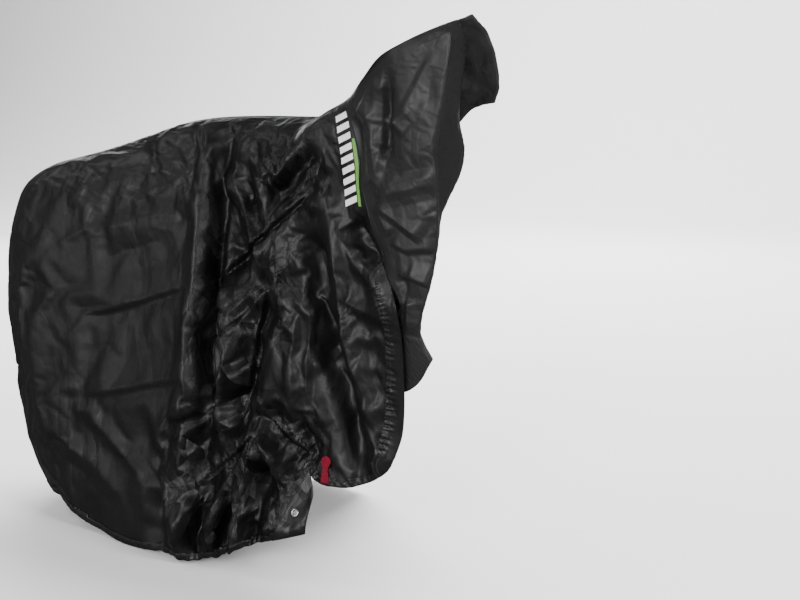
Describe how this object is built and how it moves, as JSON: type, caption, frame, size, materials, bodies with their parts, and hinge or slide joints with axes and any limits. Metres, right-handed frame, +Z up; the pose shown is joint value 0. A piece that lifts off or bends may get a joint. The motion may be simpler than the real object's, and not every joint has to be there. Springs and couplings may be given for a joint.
{
  "type": "bicycle cover",
  "caption": "Black nylon bicycle cover hanging half pulled on, peaked over one handlebar grip, with a gathered front hem, an eyelet corner and a red tab.",
  "frame": {"origin": "under the cover's top where it rests on the saddle, 930 mm above the floor that the bicycle stands on", "axes": "+X towards the bicycle's front, +Y to the bicycle's left, +Z up"},
  "size_m": [1.2569, 0.5929, 1.1417],
  "materials": {
    "side_nylon": "coated nylon, soft sheen",
    "hood_nylon": "coated nylon, soft sheen",
    "far_side_nylon": "coated nylon, soft sheen",
    "corner_nylon": "doubled coated nylon, soft sheen",
    "eyelet_metal": "bright",
    "tab_fabric": "woven, matte"
  },
  "bodies": {
    "root": {"right_panel": "side_nylon", "hood_panel": "hood_nylon", "left_panel": "far_side_nylon", "eyelet_patch": "corner_nylon", "eyelet": "eyelet_metal", "red_tab": "tab_fabric"}
  },
  "joints": []
}
